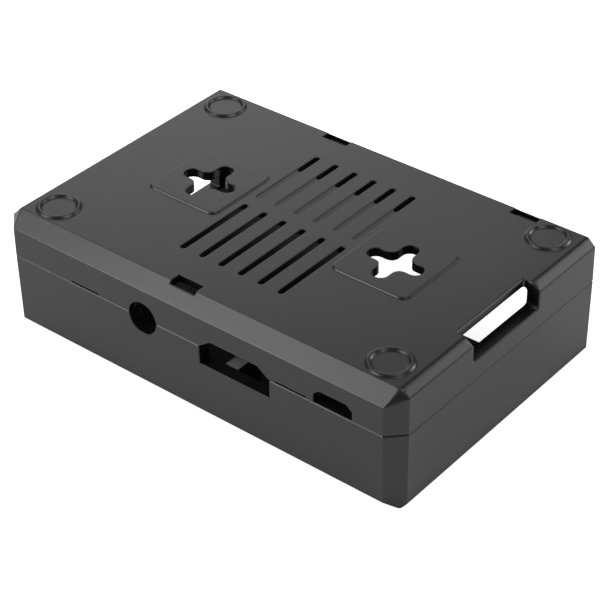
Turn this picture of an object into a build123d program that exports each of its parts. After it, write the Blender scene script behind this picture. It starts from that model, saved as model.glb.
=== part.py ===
from build123d import *
import math
import os

# Two-part moulded case for a single board computer, lying on its top.
# The base shell is uppermost and snaps onto the top shell at the seam.
# The origin is under the middle of the case, +X points to the memory card end,
# -Y to the side with the power, video and audio openings. All sizes are in mm.

# Circuit board that sets the inside of the case
board_length = 85.0
board_width = 56.0
board_thickness = 1.6
board_hole_diameter = 2.75
board_hole_inset = 3.5
board_hole_pitch = 58.0
board_shift = 0.215

# Walls and room around the board
wall = 2.7
end_play = 0.535
side_play = 0.16
top_plate = 2.0
base_plate = 1.5
component_room = 16.8
standoff_height = 2.7
cavity_corner = 2.5
floor_round = 0.8

# Outside of the case
seam_height = 15.84
corner_cut = 3.0
base_draft = 0.47
top_draft = 0.39
side_bevel_run = 2.86
side_bevel_rise = 2.82
card_end_bevel_run = 1.62
card_end_bevel_rise = 1.34
port_end_bevel_run = 2.3
port_end_bevel_rise = 2.3
rest_side_bevel_run = 1.94
rest_side_bevel_rise = 1.55
rest_end_bevel_run = 0.7
rest_end_bevel_rise = 0.8
seam_bevel = 0.2

# Lip of the top shell and the rebate of the base shell around it
lip_thickness = 1.2
lip_height = 1.5
lip_clearance = 0.15

# Rings that take the stick-on feet
ring_inner_radius = 3.1
ring_outer_radius = 4.3
ring_height = 0.4
ring_flank = 0.4
ring_root = 0.5
ring_pitch_x = 76.4
ring_pitch_y = 46.7

# Vent slots in two rows, the back row open only near the edge
vent_count = 6
vent_pitch = 4.53
vent_width = 1.25
vent_length = 18.1
vent_row_gap = 2.9
blind_vent_length = 12.0
blind_vent_depth = 0.12

# Raised pads and the cross-shaped keyholes in them
pad_size = 16.75
pad_height = 0.3
pad_corner = 1.7
pad_edge_round = 0.28
pad_pitch = 43.5
pad_y = 0.2
keyhole_reach = 5.95
keyhole_width = 3.25
keyhole_corner = 1.6

# Snap hooks of the top shell, placed from the board's card end, and the base's windows
front_hook_at = 45.67
back_hooks_at = (55.27, 11.57)
window_width = 5.8
window_into_wall = 0.3
front_window_depth = 2.3
back_window_depth = 2.1
hook_side_clearance = 0.5
hook_clearance = 0.15
hook_nose = 1.35
hook_nose_height = 1.6
hook_nose_slope = 0.8
hook_depth_below_base = 1.2
hook_skin = 1.0

# Slits along the front seam for prising the shells apart, from the board's card end
pry_slit_width = 6.8
pry_slit_height = 0.5
pry_slits_at = (19.55, 67.55)

# Memory card notch in the base shell
card_notch_low_y = -9.9
card_notch_high_y = 10.0
card_notch_depth = 3.5
card_notch_drop = 4.9
card_notch_corner = 0.6
card_notch_foot_round = 0.7
card_notch_edge = 0.35

# Openings along the front, placed from the board's card end
power_at = 10.55
power_width = 8.26
power_height = 2.91
power_corner_run = 1.2
power_corner_drop = 1.05
video_at = 32.2
video_width = 16.0
video_below_board = 6.8
video_above_seam = 1.86
video_slant_run = 2.7
audio_at = 53.5
audio_radius = 3.27
audio_below_board = 3.05

# Openings at the port end, placed from the board's front edge
network_at = 10.25
network_width = 16.0
network_below_board = 13.9
usb_at = (29.0, 47.0)
usb_width = 14.2
usb_stack_height = 16.0
usb_clearance = 0.4
port_above_board = 0.4

# Opening over the pin header, in the top plate and the back wall
header_length = 50.8
header_clearance = 0.35
header_middle_from_card_end = 32.5
header_opening_y = 15.5
header_wall_height = 8.4

# Standoffs, pegs and the pillars that press on the board
standoff_diameter = 6.0
peg_clearance = 0.25
peg_stick_out = 0.8
peg_tip_bevel = 0.4
pillar_diameter = 6.0
pillar_gap = 0.1
peg_socket_clearance = 0.5
peg_socket_spare = 0.6

# Ribs of the top shell beside and under the front connectors
video_rib_width = 2.85
video_rib_length = 6.2
video_rib_from_opening = 3.7
audio_rib_thickness = 1.5
audio_rib_length = 8.0
audio_rib_from_axis = 3.95
audio_rib_above_seam = 2.06

# Lengths by which cutting shapes run past the faces they cut
overrun = 2.0

# Sizes worked out from the ones above
cavity_length = board_length + 2 * end_play
cavity_width = board_width + 2 * side_play
case_length = cavity_length + 2 * wall
case_width = cavity_width + 2 * wall
board_face_z = top_plate + component_room
usb_sill_z = board_face_z - usb_stack_height - usb_clearance
board_back_z = board_face_z + board_thickness
base_inside_z = board_back_z + standoff_height
base_top_z = base_inside_z + base_plate
base_height = base_top_z - seam_height
board_card_edge = board_shift + board_length / 2
board_front_edge = -board_width / 2
front_wall_y = -cavity_width / 2
rebate = lip_thickness + lip_clearance


def narrowing(z, draft):
    """How far a drafted side has moved inward at height z."""
    return abs(z - seam_height) * math.tan(math.radians(draft))


def case_plan():
    """Plan of the case at the seam: a rectangle with its corners cut off."""
    rectangle = Rectangle(case_length, case_width)
    return chamfer(rectangle.vertices(), corner_cut)


def cavity_plan(grow=0.0):
    """Plan of the inside of the walls, moved outward by grow."""
    return RectangleRounded(
        cavity_length + 2 * grow, cavity_width + 2 * grow, cavity_corner + grow
    )


def block(x_range, y_range, z_range):
    """Box between two values on each axis."""
    size = [high - low for low, high in (x_range, y_range, z_range)]
    middle = [(high + low) / 2 for low, high in (x_range, y_range, z_range)]
    return Pos(*middle) * Box(*size)


def cut_away(body, point, outward):
    """Remove what lies outside the plane through point that faces outward."""
    return split(body, bisect_by=Plane(origin=point, z_dir=outward), keep=Keep.BOTTOM)


# Outer forms

def base_blank():
    """Outside of the base shell: drafted sides, four bevels, four corner facets."""
    body = Pos(0, 0, seam_height) * extrude(case_plan(), base_height, taper=base_draft)
    top_inset = narrowing(base_top_z, base_draft)
    half_width = case_width / 2 - top_inset - side_bevel_run
    for side in (-1, 1):
        point = (0, side * half_width, base_top_z)
        body = cut_away(body, point, (0, side * side_bevel_rise, side_bevel_run))
    for end, run, rise in end_bevels():
        half_length = case_length / 2 - top_inset - run
        point = (end * half_length, 0, base_top_z)
        body = cut_away(body, point, (end * rise, 0, run))
        for side in (-1, 1):
            body = cut_corner_facet(body, end, side, rise, half_length, half_width)
    return body


def end_bevels():
    """Side of X, run and rise of the base's bevel at each end."""
    return (
        (1, card_end_bevel_run, card_end_bevel_rise),
        (-1, port_end_bevel_run, port_end_bevel_rise),
    )


def cut_corner_facet(body, end, side, end_rise, half_length, half_width):
    """Flat triangle from a corner of the base's face down to both bevels' feet."""
    side_foot_z = base_top_z - side_bevel_rise
    end_foot_z = base_top_z - end_rise
    side_inset = narrowing(side_foot_z, base_draft)
    end_inset = narrowing(end_foot_z, base_draft)
    face_corner = Vector(half_length, half_width, base_top_z)
    on_side = Vector(
        case_length / 2 - side_inset - corner_cut, case_width / 2 - side_inset, side_foot_z
    )
    on_end = Vector(
        case_length / 2 - end_inset, case_width / 2 - end_inset - corner_cut, end_foot_z
    )
    outward = (on_end - face_corner).cross(on_side - face_corner)
    point = (end * face_corner.X, side * face_corner.Y, face_corner.Z)
    return cut_away(body, point, (end * outward.X, side * outward.Y, outward.Z))


def seam_edges(body):
    """Outside edges of a shell's rim at the seam."""
    return [edge for edge in body.edges() if abs(edge.center().Z - seam_height) < seam_bevel / 2]


def top_blank():
    """Outside of the top shell, drafted down to the bevels around the face it rests on."""
    down = Pos(0, 0, seam_height) * Rot(180, 0, 0)
    body = down * extrude(case_plan(), seam_height, taper=top_draft)
    rest_inset = narrowing(0, top_draft)
    half_width = case_width / 2 - rest_inset - rest_side_bevel_run
    half_length = case_length / 2 - rest_inset - rest_end_bevel_run
    for sign in (-1, 1):
        side_normal = (0, sign * rest_side_bevel_rise, -rest_side_bevel_run)
        body = cut_away(body, (0, sign * half_width, 0), side_normal)
        end_normal = (sign * rest_end_bevel_rise, 0, -rest_end_bevel_run)
        body = cut_away(body, (sign * half_length, 0, 0), end_normal)
    return body


# Openings that both shells share

def end_opening(middle, width, low_z):
    """Rectangular opening in the port end wall."""
    return block(
        (-case_length / 2 - overrun, -cavity_length / 2 + overrun),
        (middle - width / 2, middle + width / 2),
        (low_z, board_face_z + port_above_board),
    )


def front_opening(profile):
    """Sweep a profile drawn in X and Z straight through the front wall."""
    outside = -case_width / 2 - overrun
    depth = wall + 2 * overrun
    face = Plane(origin=(0, outside, 0), x_dir=(1, 0, 0), z_dir=(0, -1, 0)) * profile
    return extrude(face, depth, dir=(0, 1, 0))


def power_opening():
    """Low opening above the seam with its upper corners cut."""
    middle = board_card_edge - power_at
    half = power_width / 2
    top = seam_height + power_height
    shoulder = top - power_corner_drop
    return front_opening(make_face(Polyline(
        (middle - half, seam_height),
        (middle + half, seam_height),
        (middle + half, shoulder),
        (middle + half - power_corner_run, top),
        (middle - half + power_corner_run, top),
        (middle - half, shoulder),
        close=True,
    )))


def video_opening():
    """Wide opening, rectangular below the seam and slanted in above it."""
    middle = board_card_edge - video_at
    half = video_width / 2
    top = seam_height + video_above_seam
    return front_opening(make_face(Polyline(
        (middle - half, board_face_z - video_below_board),
        (middle + half, board_face_z - video_below_board),
        (middle + half, seam_height),
        (middle + half - video_slant_run, top),
        (middle - half + video_slant_run, top),
        (middle - half, seam_height),
        close=True,
    )))


def audio_opening():
    """Round opening centred near the seam."""
    place = Pos(board_card_edge - audio_at, board_face_z - audio_below_board)
    return front_opening(place * Circle(audio_radius))


def shared_openings():
    """All openings that run through the walls of both shells."""
    network = end_opening(
        board_front_edge + network_at, network_width, board_face_z - network_below_board
    )
    stacks = [
        end_opening(board_front_edge + place, usb_width, usb_sill_z)
        for place in usb_at
    ]
    return [power_opening(), video_opening(), audio_opening(), network] + stacks


# Hooks and windows, drawn for the front wall and turned for the back wall

def hook_sites():
    """X, side (-1 front, 1 back) and window depth of each snap hook."""
    sites = [(board_card_edge - front_hook_at, -1, front_window_depth)]
    sites += [(board_card_edge - place, 1, back_window_depth) for place in back_hooks_at]
    return sites


def window_cut(x, side, depth):
    """Window through the base plate and the channel in the wall behind it."""
    inner = cavity_width / 2
    x_range = (x - window_width / 2, x + window_width / 2)
    window_y = sorted((side * (inner + window_into_wall), side * (inner - depth)))
    channel_y = sorted((side * (inner - overrun / 2), side * (inner + rebate)))
    window = block(x_range, window_y, (base_inside_z - overrun, base_top_z + overrun))
    channel = block(x_range, channel_y, (seam_height, hook_channel_top()))
    return window + channel


def hook_channel_top():
    """Ceiling of the hook channel, a skin's thickness under the long bevel."""
    past_edge = side_bevel_run - (wall - rebate)
    drop = past_edge * side_bevel_rise / side_bevel_run
    return base_top_z - drop - hook_skin


def hook(x, side):
    """Hook arm that rises from the top shell's wall, with a nose that points inward."""
    root_z = seam_height - lip_height
    arm_top = hook_channel_top() - hook_clearance
    nose_top = base_top_z - hook_depth_below_base
    nose_base = nose_top - hook_nose_height
    outline = Polyline(
        (0, root_z),
        (lip_thickness, root_z),
        (lip_thickness, arm_top),
        (-hook_clearance, arm_top),
        (-hook_clearance, nose_top),
        (-hook_nose + hook_nose_slope, nose_top),
        (-hook_nose, nose_top - hook_nose_slope),
        (-hook_nose, nose_base + hook_nose_slope / 2),
        (0, nose_base - hook_nose_slope / 2),
        close=True,
    )
    width = window_width - 2 * hook_side_clearance
    place = Plane(
        origin=(x, side * cavity_width / 2, 0), x_dir=(0, side, 0), z_dir=(side, 0, 0)
    )
    return extrude(place * make_face(outline), width / 2, both=True)


# Base shell

def board_holes():
    """Centres of the board's fixing holes."""
    card_end = board_card_edge - board_hole_inset
    spread = board_width / 2 - board_hole_inset
    return [(x, y) for x in (card_end, card_end - board_hole_pitch) for y in (-spread, spread)]


def standoff(x, y):
    """Standoff with a peg that enters the board's fixing hole."""
    peg_radius = (board_hole_diameter - peg_clearance) / 2
    peg_length = board_thickness + peg_stick_out
    peg = extrude(Circle(peg_radius), standoff_height + peg_length)
    peg = chamfer(peg.faces().sort_by(Axis.Z)[-1].edges(), peg_tip_bevel)
    post = extrude(Circle(standoff_diameter / 2), standoff_height) + peg
    return Pos(x, y, base_inside_z) * Rot(180, 0, 0) * post


def foot_ring(x, y):
    """Ridge with sloping flanks around the place of a stick-on foot."""
    profile = make_face(Polyline(
        (ring_inner_radius, -ring_root),
        (ring_outer_radius, -ring_root),
        (ring_outer_radius, 0),
        (ring_outer_radius - ring_flank, ring_height),
        (ring_inner_radius + ring_flank, ring_height),
        (ring_inner_radius, 0),
        close=True,
    ))
    ring = revolve(Plane.XZ * profile, Axis.Z)
    return Pos(x, y, base_top_z) * ring


def vent_slots():
    """Two rows of slots, the back row a shallow groove over most of its length."""
    step = (vent_length + vent_row_gap) / 2
    first = -(vent_count - 1) / 2 * vent_pitch
    through = base_plate + 2 * overrun
    open_length = vent_length - blind_vent_length
    open_y = step + blind_vent_length / 2
    cuts = []
    for index in range(vent_count):
        x = board_shift + first + index * vent_pitch
        cuts.append(slot_cut(x, -step, vent_length, through))
        cuts.append(slot_cut(x, step, vent_length, blind_vent_depth))
        cuts.append(slot_cut(x, open_y, open_length, through))
    return cuts


def slot_cut(x, y, length, depth):
    """Round-ended slot along Y, cut down from the base's face."""
    slot = Rot(0, 0, 90) * SlotOverall(length, vent_width)
    return Pos(x, y, base_top_z) * extrude(slot, depth, both=False, dir=(0, 0, -1))


def pad(x):
    """Raised square with rounded edges."""
    square = extrude(RectangleRounded(pad_size, pad_size, pad_corner), pad_height)
    square = fillet(square.faces().sort_by(Axis.Z)[-1].edges(), pad_edge_round)
    return Pos(x, pad_y, base_top_z) * square


def keyhole_cut(x):
    """Cross of two round-ended slots with round inner corners."""
    along = SlotOverall(2 * keyhole_reach, keyhole_width)
    cross = along + Rot(0, 0, 90) * along
    corner_reach = keyhole_width
    inner = [v for v in cross.vertices() if abs(v.X) < corner_reach and abs(v.Y) < corner_reach]
    cross = fillet(inner, keyhole_corner)
    height = base_plate + pad_height + 2 * overrun
    return Pos(x, pad_y, base_inside_z - overrun) * extrude(cross, height)


def card_notch():
    """Notch through the plate and the end wall over the memory card."""
    start = cavity_length / 2 + wall - card_notch_depth
    low_z = base_top_z - card_notch_drop
    notch = block(
        (start, case_length / 2 + overrun),
        (card_notch_low_y, card_notch_high_y),
        (low_z, base_top_z + overrun),
    )
    upright = notch.edges().filter_by(Axis.Z).group_by(Axis.X)[0]
    notch = fillet(upright, card_notch_corner)
    foot = notch.edges().filter_by(Axis.X).group_by(Axis.Z)[0].sort_by(Axis.Y)[-1]
    return fillet(foot, card_notch_foot_round)


def card_notch_relief():
    """Small bevel where the notch meets the base's face."""
    start = cavity_length / 2 + wall - card_notch_depth
    edge = Plane(origin=(start, card_notch_low_y, base_top_z), x_dir=(1, 0, 0), z_dir=(0, -1, 0))
    corner = make_face(Polyline(
        (-card_notch_edge, 0),
        (0, -card_notch_edge),
        (card_notch_edge, 0),
        close=True,
    ))
    return extrude(edge * corner, card_notch_high_y - card_notch_low_y, dir=(0, 1, 0))


def pry_slit(x):
    """Shallow slit in the rim of the base shell at the seam."""
    outside = -case_width / 2
    return block(
        (x - pry_slit_width / 2, x + pry_slit_width / 2),
        (outside - overrun, outside + wall - rebate / 2),
        (seam_height - overrun, seam_height + pry_slit_height),
    )


def base_cavity():
    """Room inside the base shell, with the rebate that takes the lip."""
    room = extrude(cavity_plan(), base_inside_z - seam_height)
    room = fillet(room.faces().sort_by(Axis.Z)[-1].edges(), floor_round)
    step = extrude(cavity_plan(rebate), lip_height + lip_clearance)
    return Pos(0, 0, seam_height) * (room + step)


def make_base_shell():
    """The uppermost shell in this pose, which is the bottom of the case in use."""
    shell = chamfer(seam_edges(base_blank()), seam_bevel)
    pads = [-pad_pitch / 2, pad_pitch / 2]
    shell += [pad(x) for x in pads]
    for x in (-ring_pitch_x / 2, ring_pitch_x / 2):
        for y in (-ring_pitch_y / 2, ring_pitch_y / 2):
            shell += foot_ring(board_shift + x, y)
    shell -= base_cavity()
    shell += [standoff(x, y) for x, y in board_holes()]
    shell -= vent_slots()
    shell -= [keyhole_cut(x) for x in pads]
    shell -= card_notch()
    shell -= card_notch_relief()
    shell -= [window_cut(*site) for site in hook_sites()]
    shell -= shared_openings()
    shell -= [pry_slit(board_card_edge - place) for place in pry_slits_at]
    return shell


# Top shell

def lip():
    """Thin lip that stands up from the top shell's rim inside the base shell."""
    ring = cavity_plan(lip_thickness) - cavity_plan()
    return Pos(0, 0, seam_height - lip_height) * extrude(ring, 2 * lip_height)


def pillar(x, y):
    """Pillar that presses on the board and takes the tip of the peg."""
    height = board_face_z - pillar_gap - top_plate
    peg_diameter = board_hole_diameter - peg_clearance
    socket_depth = peg_stick_out - pillar_gap + peg_socket_spare
    post = extrude(Circle(pillar_diameter / 2), height)
    socket = extrude(Circle((peg_diameter + peg_socket_clearance) / 2), socket_depth)
    return Pos(x, y, top_plate) * (post - Pos(0, 0, height - socket_depth) * socket)


def video_rib():
    """Rib under the video connector, as high as the sill of its opening."""
    low_x = board_card_edge - video_at - video_width / 2 + video_rib_from_opening
    return block(
        (low_x, low_x + video_rib_width),
        (front_wall_y, front_wall_y + video_rib_length),
        (top_plate, board_face_z - video_below_board),
    )


def audio_rib():
    """Guide rib beside the audio connector."""
    high_x = board_card_edge - audio_at - audio_rib_from_axis
    return block(
        (high_x - audio_rib_thickness, high_x),
        (front_wall_y, front_wall_y + audio_rib_length),
        (top_plate, seam_height + audio_rib_above_seam),
    )


def header_opening():
    """Opening over the pin header, out through the lower part of the back wall."""
    middle = board_card_edge - header_middle_from_card_end
    half = header_length / 2 + header_clearance
    return block(
        (middle - half, middle + half),
        (header_opening_y, case_width / 2 + overrun),
        (-overrun, header_wall_height),
    )


def make_top_shell():
    """The shell that the case lies on in this pose."""
    shell = chamfer(seam_edges(top_blank()), seam_bevel)
    room = extrude(cavity_plan(), seam_height - top_plate + overrun)
    shell -= Pos(0, 0, top_plate) * room
    shell += lip()
    shell += [hook(x, side) for x, side, _ in hook_sites()]
    shell += [pillar(x, y) for x, y in board_holes()]
    shell += video_rib()
    shell += audio_rib()
    shell -= header_opening()
    shell -= shared_openings()
    return shell


os.makedirs("parts", exist_ok=True)
export_step(make_base_shell(), "parts/base_shell.step")
export_step(make_top_shell(), "parts/top_shell.step")
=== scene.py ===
# %% [markdown]
# # A two-part moulded case for a single board computer
# The case is two black plastic shells that snap together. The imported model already
# holds their true forms: plates, walls, slots, keyholes, rings and hooks. What is left
# for Blender is the finish of the plastic, the light, and the camera.

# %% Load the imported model
import math
import bpy
from mathutils import Matrix, Vector


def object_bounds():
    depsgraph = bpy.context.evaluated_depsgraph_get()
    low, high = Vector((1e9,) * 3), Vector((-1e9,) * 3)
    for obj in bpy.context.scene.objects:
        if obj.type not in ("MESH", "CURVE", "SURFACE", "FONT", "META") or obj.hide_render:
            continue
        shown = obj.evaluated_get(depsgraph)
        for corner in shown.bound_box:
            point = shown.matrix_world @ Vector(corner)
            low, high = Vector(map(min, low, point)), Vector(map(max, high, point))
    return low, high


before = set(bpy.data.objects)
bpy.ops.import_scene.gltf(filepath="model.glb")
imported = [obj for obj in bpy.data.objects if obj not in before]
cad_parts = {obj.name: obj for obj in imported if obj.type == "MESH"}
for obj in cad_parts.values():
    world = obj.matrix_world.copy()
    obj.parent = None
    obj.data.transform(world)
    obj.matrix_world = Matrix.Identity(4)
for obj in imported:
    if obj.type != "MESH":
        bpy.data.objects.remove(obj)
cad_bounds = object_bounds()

scene = bpy.context.scene
bpy.ops.object.select_all(action="DESELECT")
MM = 0.001
print("nodes:", sorted(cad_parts))
print("case size in mm:", [round((b - a) / MM, 2) for a, b in zip(*cad_bounds)])

# %% [markdown]
# ## Camera
# The photograph looks down on one corner, with little perspective, so a long lens far
# away is right. The place and angles were worked out from the case's straight edges.
# The camera's axes are written as the columns of a matrix, because a small roll about
# the view direction is easier to add there than with a tracking constraint.

# %% Place the camera
CAMERA_PLACE = Vector((189.355, -227.46, 218.66)) * MM
CAMERA_AZIMUTH = math.radians(39.788)
CAMERA_ELEVATION = math.radians(35.558)
CAMERA_ROLL = math.radians(-0.990)
FOCAL_PIXELS = 1946.95
IMAGE_PIXELS = 600
SENSOR_WIDTH = 36.0


def camera_matrix():
    """Camera axes from azimuth, elevation and roll, with its place."""
    turn, rise = CAMERA_AZIMUTH, CAMERA_ELEVATION
    flat = math.cos(rise)
    back = Vector((math.sin(turn) * flat, -math.cos(turn) * flat, math.sin(rise)))
    level = Vector((math.cos(turn), math.sin(turn), 0.0))
    upright = back.cross(level)
    right = level * math.cos(CAMERA_ROLL) + upright * math.sin(CAMERA_ROLL)
    up = upright * math.cos(CAMERA_ROLL) - level * math.sin(CAMERA_ROLL)
    axes = Matrix((right, up, back)).transposed()
    return Matrix.Translation(CAMERA_PLACE) @ axes.to_4x4()


camera_data = bpy.data.cameras.new("photo_camera")
camera_data.sensor_width = SENSOR_WIDTH
camera_data.lens = SENSOR_WIDTH * FOCAL_PIXELS / IMAGE_PIXELS
camera = bpy.data.objects.new("photo_camera", camera_data)
camera.matrix_world = camera_matrix()
scene.collection.objects.link(camera)
scene.camera = camera
print("lens in mm:", round(camera_data.lens, 1))

# %% [markdown]
# ## Helpers for shader nodes
# Floor, light and plastic are all nets of nodes, and most of their steps are a sum or a
# ramp. Each could be wired by hand, as in the node editor. Helpers keep the wiring short
# enough to read: one feeds an input, and the others make a maths step, a ramp and an
# empty material.

# %% Feed, maths and ramp
def feed(links, source, target):
    """Link an input to another socket, or set it to a plain value."""
    if isinstance(source, bpy.types.NodeSocket):
        links.new(source, target)
    else:
        target.default_value = source


def maths(nodes, links, operation, *sources):
    """Socket with one maths step on sockets or numbers."""
    step = nodes.new("ShaderNodeMath")
    step.operation = operation
    for source, target in zip(sources, step.inputs):
        feed(links, source, target)
    return step.outputs[0]


def ramp(nodes, links, source, span, low, high, shape="LINEAR"):
    """Socket that goes from low to high while its source crosses a span."""
    step = nodes.new("ShaderNodeMapRange")
    step.interpolation_type = shape
    names = ("Value", "From Min", "From Max", "To Min", "To Max")
    for name, value in zip(names, (source, *span, low, high)):
        feed(links, value, step.inputs[name])
    return step.outputs["Result"]


print("helpers:", [helper.__name__ for helper in (feed, maths, ramp)])

# %% Empty material
def new_material(name):
    """Empty node material; returns it with its nodes, links and output node."""
    material = bpy.data.materials.new(name)
    material.use_nodes = True
    nodes, links = material.node_tree.nodes, material.node_tree.links
    nodes.clear()
    return material, nodes, links, nodes.new("ShaderNodeOutputMaterial")


print("materials so far:", len(bpy.data.materials))

# %% [markdown]
# ## Floor
# The photograph has a pure white ground with no visible shadow. A white floor that is
# lit like the rest would turn grey, so rays from the camera and from glossy surfaces
# see it glow as well, and a faint shadow stays. The mirrored glow fades out under the
# case, because a real floor is dark there and would light nothing through the openings.

# %% Floor plane
FLOOR_SIZE = 3.0

bpy.ops.mesh.primitive_plane_add(size=FLOOR_SIZE)
floor = bpy.context.object
floor.name = "pale_floor"
print("floor side in m:", FLOOR_SIZE)

# %% Where the floor is open
FLOOR_FADE = (-0.5 * MM, 2.0 * MM)
CASE_HALF = [(high - low) / 2 for low, high in zip(*cad_bounds)][:2]


def open_floor(nodes, links):
    """Socket that is 0 under the case and rises to 1 on the open floor."""
    place = nodes.new("ShaderNodeTexCoord")
    split = nodes.new("ShaderNodeSeparateXYZ")
    links.new(place.outputs["Object"], split.inputs[0])
    past_sides = []
    for axis, half in zip("XY", CASE_HALF):
        from_middle = maths(nodes, links, "ABSOLUTE", split.outputs[axis])
        past_sides.append(maths(nodes, links, "SUBTRACT", from_middle, half))
    farthest = maths(nodes, links, "MAXIMUM", *past_sides)
    return ramp(nodes, links, farthest, FLOOR_FADE, 0.0, 1.0, shape="SMOOTHSTEP")


print("floor under the case, half sides in mm:", [round(h / MM, 1) for h in CASE_HALF])

# %% Floor material
FLOOR_COLOUR = (0.9, 0.9, 0.9, 1.0)
FLOOR_GLOW_SEEN = 0.85
FLOOR_GLOW_MIRRORED = 0.20


def paint_floor():
    """Diffuse floor that glows for the camera and for mirrored rays."""
    material, nodes, links, output = new_material("pale_floor")
    path = nodes.new("ShaderNodeLightPath")
    camera_ray, glossy_ray = path.outputs["Is Camera Ray"], path.outputs["Is Glossy Ray"]
    seen = maths(nodes, links, "MULTIPLY", camera_ray, FLOOR_GLOW_SEEN)
    mirrored = maths(nodes, links, "MULTIPLY", open_floor(nodes, links), FLOOR_GLOW_MIRRORED)
    glow = nodes.new("ShaderNodeEmission")
    links.new(
        maths(nodes, links, "MULTIPLY_ADD", glossy_ray, mirrored, seen),
        glow.inputs["Strength"],
    )
    diffuse = nodes.new("ShaderNodeBsdfDiffuse")
    diffuse.inputs["Color"].default_value = FLOOR_COLOUR
    both = nodes.new("ShaderNodeAddShader")
    links.new(diffuse.outputs[0], both.inputs[0])
    links.new(glow.outputs[0], both.inputs[1])
    links.new(both.outputs[0], output.inputs["Surface"])
    return material


floor.data.materials.append(paint_floor())
print("glow seen and mirrored:", FLOOR_GLOW_SEEN, FLOOR_GLOW_MIRRORED)

# %% [markdown]
# ## Even light
# A studio has some light from everywhere, and here the world gives it, in plain grey.
# The camera sees the world as white, so that the ground and what is behind it are one.

# %% World
WORLD_COLOUR = (1.0, 1.0, 1.0, 1.0)
WORLD_LIGHT = 0.22
WORLD_SEEN = 1.0


def light_world():
    """Even grey light, white for rays from the camera."""
    world = bpy.data.worlds.new("studio")
    scene.world = world
    world.use_nodes = True
    nodes, links = world.node_tree.nodes, world.node_tree.links
    background = nodes["Background"]
    background.inputs["Color"].default_value = WORLD_COLOUR
    camera_ray = nodes.new("ShaderNodeLightPath").outputs["Is Camera Ray"]
    level = ramp(nodes, links, camera_ray, (0.0, 1.0), WORLD_LIGHT, WORLD_SEEN)
    links.new(level, background.inputs["Strength"])


light_world()
scene.view_settings.view_transform = "Standard"
print("world light:", WORLD_LIGHT)

# %% [markdown]
# ## Lamps
# Black plastic shows little of its own colour: what it shows is the light that it
# mirrors. So large soft lamps stand where each side of the case needs its sheen, with
# darkness between them that draws the folds as dark lines. The lamp overhead is
# mirrored by no face that the camera sees: it keeps the light even.

# %% Soft lamps
# Each lamp: name, direction from the case, distance and side in m, power in W
LAMPS = (
    ("lamp_back_left", (-0.62, 0.66, 0.43), 0.9, 0.50, 0.66),
    ("lamp_back_left_low", (-0.70, 0.64, 0.33), 0.9, 0.30, 0.12),
    ("lamp_front_left", (-0.40, -0.65, 0.64), 0.9, 0.42, 1.25),
    ("lamp_far_left", (-0.66, -0.50, 0.56), 0.9, 0.40, 0.50),
    ("lamp_front_low", (-0.52, -0.76, 0.36), 0.9, 0.30, 1.90),
    ("lamp_back_right", (0.49, 0.70, 0.52), 1.0, 0.46, 1.20),
    ("lamp_low_back_right", (0.40, 0.85, 0.25), 1.0, 0.30, 1.10),
    ("lamp_high_left", (-0.55, 0.00, 0.83), 0.9, 0.40, 0.90),
    ("lamp_overhead", (0.45, 0.05, 0.89), 1.0, 0.50, 2.00),
)


def add_lamp(name, direction, distance, side, power):
    """Square soft lamp that faces the case from a direction."""
    data = bpy.data.lights.new(name, "AREA")
    data.size = side
    data.energy = power
    lamp = bpy.data.objects.new(name, data)
    aim = Vector(direction).normalized()
    turn = aim.to_track_quat("Z", "Y").to_matrix().to_4x4()
    lamp.matrix_world = Matrix.Translation(aim * distance) @ turn
    scene.collection.objects.link(lamp)


for lamp in LAMPS:
    add_lamp(*lamp)
print("lamps:", [lamp[0] for lamp in LAMPS])

# %% [markdown]
# ## Black moulded plastic
# Both shells are moulded in the same black plastic. It has a fine even grain from the
# mould, and every corner of a moulding is a little round. The grain is far smaller than
# a pixel here, so it mostly shows as a soft sheen. The rounding could be a Bevel
# modifier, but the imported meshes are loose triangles, so the Bevel shader node bends
# the normals near the edges instead. One shared group makes the grain, the rounding and
# the slow change in gloss, and each material sets how strong they are.

# %% Sockets of the moulding group
MOULDING_SOCKETS = (
    ("Smooth", "INPUT", "NodeSocketFloat"),
    ("Rough", "INPUT", "NodeSocketFloat"),
    ("Edge Round", "INPUT", "NodeSocketFloat"),
    ("Dark", "INPUT", "NodeSocketColor"),
    ("Light", "INPUT", "NodeSocketColor"),
    ("Color", "OUTPUT", "NodeSocketColor"),
    ("Roughness", "OUTPUT", "NodeSocketFloat"),
    ("Normal", "OUTPUT", "NodeSocketVector"),
)

moulded_surface = bpy.data.node_groups.new("moulded_surface", "ShaderNodeTree")
for name, side, kind in MOULDING_SOCKETS:
    moulded_surface.interface.new_socket(name, in_out=side, socket_type=kind)
print("group sockets:", [socket[0] for socket in MOULDING_SOCKETS])

# %% Noise, and the grained normal
GRAIN_STRENGTH = 0.25
GRAIN_DEPTH = 0.02 * MM
EDGE_SAMPLES = 8


def noise(nodes, links, place, scale, detail):
    """Socket with noise of a scale per metre at a place."""
    texture = nodes.new("ShaderNodeTexNoise")
    texture.inputs["Scale"].default_value = scale
    texture.inputs["Detail"].default_value = detail
    links.new(place, texture.inputs["Vector"])
    return texture.outputs["Fac"]


def grained_normal(nodes, links, grain, radius):
    """Socket with the normal, rounded at the edges and bumped by the grain."""
    edges = nodes.new("ShaderNodeBevel")
    edges.samples = EDGE_SAMPLES
    links.new(radius, edges.inputs["Radius"])
    bump = nodes.new("ShaderNodeBump")
    bump.inputs["Strength"].default_value = GRAIN_STRENGTH
    bump.inputs["Distance"].default_value = GRAIN_DEPTH
    links.new(grain, bump.inputs["Height"])
    links.new(edges.outputs["Normal"], bump.inputs["Normal"])
    return bump.outputs["Normal"]


print("grain depth in mm:", GRAIN_DEPTH / MM)

# %% Wire the moulding group
GRAIN_PER_M = 5200.0
GRAIN_DETAIL = 3.0
CLOUD_PER_M = 38.0
CLOUD_DETAIL = 4.0


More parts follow.
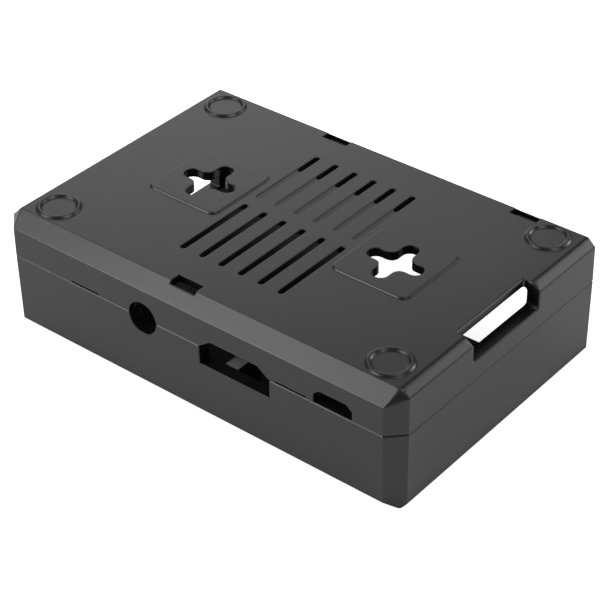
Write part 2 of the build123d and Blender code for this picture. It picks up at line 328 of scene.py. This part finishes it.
def wire_moulding(nodes, links):
    """Wire colour, roughness and normal of the moulding group."""
    start = nodes.new("NodeGroupInput")
    end = nodes.new("NodeGroupOutput")
    place = nodes.new("ShaderNodeTexCoord").outputs["Object"]
    grain = noise(nodes, links, place, GRAIN_PER_M, GRAIN_DETAIL)
    cloud = noise(nodes, links, place, CLOUD_PER_M, CLOUD_DETAIL)
    tint = nodes.new("ShaderNodeMix")
    tint.data_type = "RGBA"
    links.new(grain, tint.inputs["Factor"])
    links.new(start.outputs["Dark"], tint.inputs["A"])
    links.new(start.outputs["Light"], tint.inputs["B"])
    links.new(tint.outputs["Result"], end.inputs["Color"])
    smooth, rough = start.outputs["Smooth"], start.outputs["Rough"]
    gloss = ramp(nodes, links, cloud, (0.0, 1.0), smooth, rough)
    links.new(gloss, end.inputs["Roughness"])
    normal = grained_normal(nodes, links, grain, start.outputs["Edge Round"])
    links.new(normal, end.inputs["Normal"])


wire_moulding(moulded_surface.nodes, moulded_surface.links)
print("nodes in the group:", len(moulded_surface.nodes))

# %% [markdown]
# ## Rounder edges at the two ends
# The bevels at the two ends of the base shell are rounder than the other edges, most of
# all along their fold with the plate, which shows as a soft dark line. A second material
# could hold the larger radius, but its border would show as a step. The Bevel node
# takes its radius from a socket, so the radius grows by place instead. It is worked out
# from Object coordinates: largest along the two folds, less over the rest of the ends,
# and least between the ends and down by the seam.

# %% Radius by place
EDGE_ROUND = 0.30 * MM
END_ROUND = 0.60 * MM
FOLD_ROUND = 1.30 * MM
END_X = (42.9 * MM, 43.6 * MM)
END_Z = (17.5 * MM, 18.5 * MM)
# The folds lie at this distance to each side of a middle that is shifted along X
FOLD_FROM_MIDDLE = 43.70 * MM
FOLD_SHIFT = 0.34 * MM
FOLD_REACH = (0.6 * MM, 1.1 * MM)


def round_by_place(nodes, links):
    """Socket with the edge radius, which grows along the end bevels of the base shell."""
    place = nodes.new("ShaderNodeTexCoord")
    split = nodes.new("ShaderNodeSeparateXYZ")
    links.new(place.outputs["Object"], split.inputs[0])
    along, height = split.outputs["X"], split.outputs["Z"]
    centred = maths(nodes, links, "SUBTRACT", along, FOLD_SHIFT)
    from_middle = maths(nodes, links, "ABSOLUTE", centred)
    past_fold = maths(nodes, links, "SUBTRACT", from_middle, FOLD_FROM_MIDDLE)
    from_fold = maths(nodes, links, "ABSOLUTE", past_fold)
    near_fold = ramp(nodes, links, from_fold, FOLD_REACH, FOLD_ROUND, END_ROUND)
    from_centre = maths(nodes, links, "ABSOLUTE", along)
    near_end = ramp(nodes, links, from_centre, END_X, EDGE_ROUND, near_fold)
    return ramp(nodes, links, height, END_Z, EDGE_ROUND, near_end)


print("edge radii in mm:", [round(r / MM, 2) for r in (EDGE_ROUND, END_ROUND, FOLD_ROUND)])

# %% [markdown]
# ## The plastics
# The outside of such a case is polished more than its inside, where the mould keeps the
# rougher mark of its machining. So there is a glossy plastic for each shell's outside,
# and a dull one for the inside, whose paler grey is painted light on the inner faces
# seen through the openings. The floors of the blanked slots get a rougher plastic whose
# darker grey is painted shade in the grooves. A far paler plastic on the top of the rib
# behind the video opening is painted light that makes it as light as the front wall.
# All use the group, each with its own values.

# %% Plastic materials
PLASTIC_IOR = 1.55
ROUNDER_AT_ENDS = "base_shell_plastic"
# Each plastic: roughness where smooth and where rough, grey where dark and where light
PLASTICS = {
    "base_shell_plastic": (0.22, 0.30, 0.005, 0.009),
    "top_shell_plastic": (0.24, 0.32, 0.005, 0.009),
    # Inside: a rougher finish, and a paler grey that is painted light on faces seen through
    # the openings
    "inner_plastic": (0.60, 0.75, 0.014, 0.020),
    # Groove floors: rougher, with a darker grey that is painted shade in the grooves
    "groove_plastic": (0.32, 0.42, 0.004, 0.007),
    # Rib top: a far paler grey, painted light that makes it as light as the front wall
    "painted_light_rib_plastic": (0.35, 0.45, 0.23, 0.27),
}


def moulded_plastic(name, smooth, rough, dark, light):
    """Plastic between two roughness values and two greys."""
    material, nodes, links, output = new_material(name)
    surface = nodes.new("ShaderNodeGroup")
    surface.node_tree = moulded_surface
    surface.inputs["Smooth"].default_value = smooth
    surface.inputs["Rough"].default_value = rough
    surface.inputs["Dark"].default_value = (dark, dark, dark, 1.0)
    surface.inputs["Light"].default_value = (light, light, light, 1.0)
    radius = round_by_place(nodes, links) if name == ROUNDER_AT_ENDS else EDGE_ROUND
    feed(links, radius, surface.inputs["Edge Round"])
    skin = nodes.new("ShaderNodeBsdfPrincipled")
    skin.inputs["IOR"].default_value = PLASTIC_IOR
    links.new(surface.outputs["Color"], skin.inputs["Base Color"])
    links.new(surface.outputs["Roughness"], skin.inputs["Roughness"])
    links.new(surface.outputs["Normal"], skin.inputs["Normal"])
    links.new(skin.outputs["BSDF"], output.inputs["Surface"])
    return material


plastics = {name: moulded_plastic(name, *values) for name, values in PLASTICS.items()}
print("plastics:", sorted(plastics))

# %% [markdown]
# ## Which face gets which plastic
# The faces could be picked one by one in edit mode, but the imported meshes have
# thousands, so each face is picked by where its middle lies. The inside is the box of
# the cavity. Lip and hooks of the top shell stand above the seam, where the base shell
# hides them. The floors of the blanked slots, which get painted shade, and the top of
# the rib behind the video opening, which gets painted light, are found by their exact
# height.

# %% Inner faces, places in mm
CAVITY_HALF_X = 43.035
CAVITY_HALF_Y = 28.16
INSIDE_Z = {"base_shell": (0.0, 23.1), "top_shell": (2.0, 24.0)}
SEAM_Z = 15.84
REACH = 0.05


def is_inside(spot, node):
    """Whether a spot lies in the cavity, between the heights of a shell's inside."""
    low, high = INSIDE_Z[node]
    within = abs(spot.x) < CAVITY_HALF_X + REACH and abs(spot.y) < CAVITY_HALF_Y + REACH
    return within and low - REACH < spot.z < high + REACH


def is_above_seam(spot, node):
    """Whether a spot is on the lip or a hook, which the base shell hides."""
    return node == "top_shell" and spot.z > SEAM_Z + REACH


print("heights of the insides in mm:", INSIDE_Z)

# %% Groove floors with painted shade and the rib top with painted light, places in mm
GROOVE_FLOOR_Z = 24.48
GROOVE_REACH = 0.025
RIB_TOP_X = (6.2, 9.1)
RIB_TOP_Y = (-28.2, -21.9)
RIB_TOP_Z = 12.0


def is_groove_floor(spot):
    """Whether a spot lies on the floor of a blanked slot."""
    return abs(spot.z - GROOVE_FLOOR_Z) < GROOVE_REACH


def is_rib_top(spot):
    """Whether a spot lies on the rib's upper face behind the video opening."""
    along = RIB_TOP_X[0] - REACH < spot.x < RIB_TOP_X[1] + REACH
    across = RIB_TOP_Y[0] - REACH < spot.y < RIB_TOP_Y[1] + REACH
    return along and across and abs(spot.z - RIB_TOP_Z) < REACH


print("heights of groove floors and rib top in mm:", GROOVE_FLOOR_Z, RIB_TOP_Z)

# %% Dress the shells
OUTER, INNER, GROOVE, PAINTED_LIGHT_RIB = range(4)


def plastic_slot(spot, node):
    """Slot of the plastic that a spot in mm of a shell has."""
    # Groove floors get the plastic with painted shade
    if is_groove_floor(spot):
        return GROOVE
    # The rib top behind the video opening gets the pale plastic with painted light
    if is_rib_top(spot):
        return PAINTED_LIGHT_RIB
    return INNER if is_inside(spot, node) or is_above_seam(spot, node) else OUTER


def dress(node, outer):
    """Give a shell its four plastics, and return how many faces each has."""
    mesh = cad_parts[node].data
    mesh.materials.clear()
    for name in (outer, "inner_plastic", "groove_plastic", "painted_light_rib_plastic"):
        mesh.materials.append(plastics[name])
    counts = [0] * len(mesh.materials)
    for face in mesh.polygons:
        face.material_index = plastic_slot(face.center / MM, node)
        counts[face.material_index] += 1
    return counts


for node in ("base_shell", "top_shell"):
    print(node, "faces, outer, inner, groove, lit_rib:", dress(node, node + "_plastic"))
